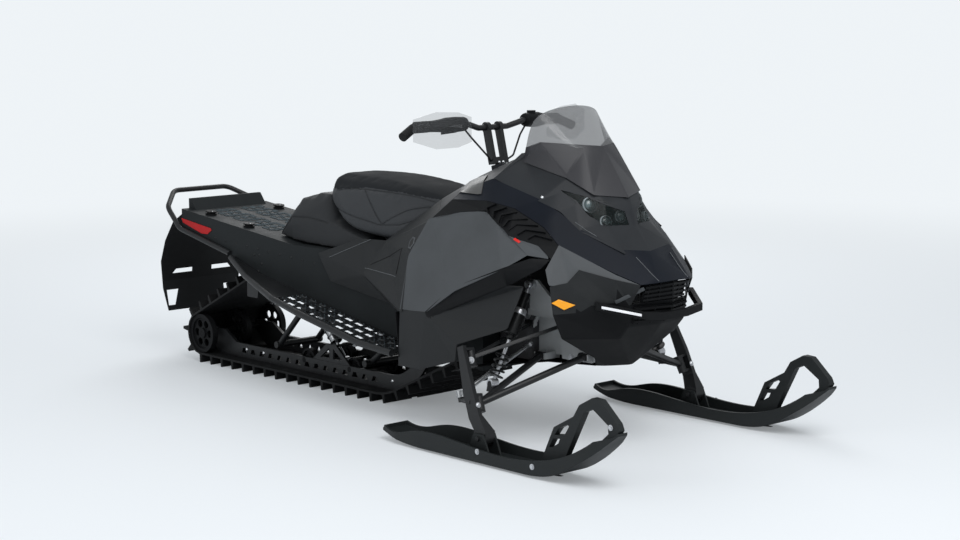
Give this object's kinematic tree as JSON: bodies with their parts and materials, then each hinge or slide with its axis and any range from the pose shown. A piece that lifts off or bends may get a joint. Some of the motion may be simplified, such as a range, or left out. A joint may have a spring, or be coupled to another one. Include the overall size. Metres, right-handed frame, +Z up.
{
  "type": "snowmobile",
  "caption": "Crossover snowmobile with faceted cowl, hollow hood panels, track with lugs, slide-rail skid frame and skis that steer with the handlebar.",
  "frame": {"origin": "on the ground under the middle of the machine, on its mirror plane", "axes": "+X forward to the ski tips, +Y to the rider's left, +Z up"},
  "size_m": [3.1, 1.218, 1.18],
  "materials": {
    "hood_black": "satin charcoal",
    "band_dark": "dark blue black",
    "panel_grey": "moulded grey",
    "black_plastic": "moulded black",
    "lens": "clear",
    "smoked": "smoked",
    "clear_screen": "light grey tint",
    "tunnel_paint": "satin",
    "black_metal": "satin",
    "rubber": "matt",
    "vinyl": "grained vinyl",
    "bare_alloy": "cast",
    "engine_alloy": "cast",
    "red_lens": "lens",
    "amber": "lens",
    "white_lens": "lens",
    "ski_plastic": "moulded",
    "guard_tint": "light tint",
    "steel": "zinc plated"
  },
  "bodies": {
    "chassis": {"tunnel": "tunnel_paint", "running_boards": "black_metal", "rear_bumper": "black_metal", "snow_flap": "rubber", "tail_light": "red_lens", "cargo_anchors": "black_plastic", "seat": "vinyl", "rear_cover": "vinyl", "seat_fairings": "black_plastic", "belly_pan": "black_plastic", "hood": "hood_black", "cowl_band": "band_dark", "cheeks": "panel_grey", "console": "hood_black", "side_panels": "panel_grey", "lower_panels": "black_plastic", "vent_louvers": "black_plastic", "headlights": "lens", "windshield_lower": "smoked", "windshield_upper": "clear_screen", "front_bumper": "black_plastic", "marker_lights": "white_lens", "reflectors": "amber", "grilles": "black_plastic", "bulkhead": "bare_alloy", "engine": "engine_alloy", "upper_arms": "black_metal", "lower_arms": "black_metal", "front_shocks": "black_metal", "track": "rubber", "skid_rails": "black_metal", "skid_wheels": "black_plastic", "drive_axle": "steel", "skid_arms": "black_metal", "skid_shocks": "steel"},
    "handlebar": {"steering_riser": "black_metal", "handlebar": "black_metal", "grips": "rubber", "control_pods": "black_plastic", "hand_guards": "guard_tint", "control_cables": "rubber"},
    "ski_leg_right": {"spindle_right": "black_metal", "ski_right": "ski_plastic"},
    "ski_leg_left": {"spindle_left": "black_metal", "ski_left": "ski_plastic"},
    "tie_rod_right": {"tie_rod_right": "steel"},
    "tie_rod_left": {"tie_rod_left": "steel"}
  },
  "joints": [
    {"name": "steering", "type": "hinge", "parent": "chassis", "child": "handlebar", "pos_m": [0.377, 0, 1.079], "axis": [-0.2419, 0, 0.9703], "range_deg": [-35, 35]},
    {"name": "ski_steer_right", "type": "hinge", "parent": "chassis", "child": "ski_leg_right", "pos_m": [0.84893, -0.51048, 0.2], "axis": [-0.3722, 0.1131, 0.9212], "range_deg": [-30.01, 30.01]},
    {"name": "tie_rod_swing_right", "type": "hinge", "parent": "ski_leg_right", "child": "tie_rod_right", "pos_m": [0.75441, -0.50656, 0.19903], "axis": [-0.3722, 0.1131, 0.9212], "range_deg": [-30.01, 30.01]},
    {"name": "ski_steer_left", "type": "hinge", "parent": "chassis", "child": "ski_leg_left", "pos_m": [0.84893, 0.51048, 0.2], "axis": [-0.3722, -0.1131, 0.9212], "range_deg": [-30.01, 30.01]},
    {"name": "tie_rod_swing_left", "type": "hinge", "parent": "ski_leg_left", "child": "tie_rod_left", "pos_m": [0.75441, 0.50656, 0.19903], "axis": [-0.3722, -0.1131, 0.9212], "range_deg": [-30.01, 30.01]}
  ],
  "couplings": [
    {"joint": "ski_steer_right", "follows": "steering", "ratio": 0.85714},
    {"joint": "tie_rod_swing_right", "follows": "steering", "ratio": -0.85714},
    {"joint": "ski_steer_left", "follows": "steering", "ratio": 0.85714},
    {"joint": "tie_rod_swing_left", "follows": "steering", "ratio": -0.85714}
  ]
}
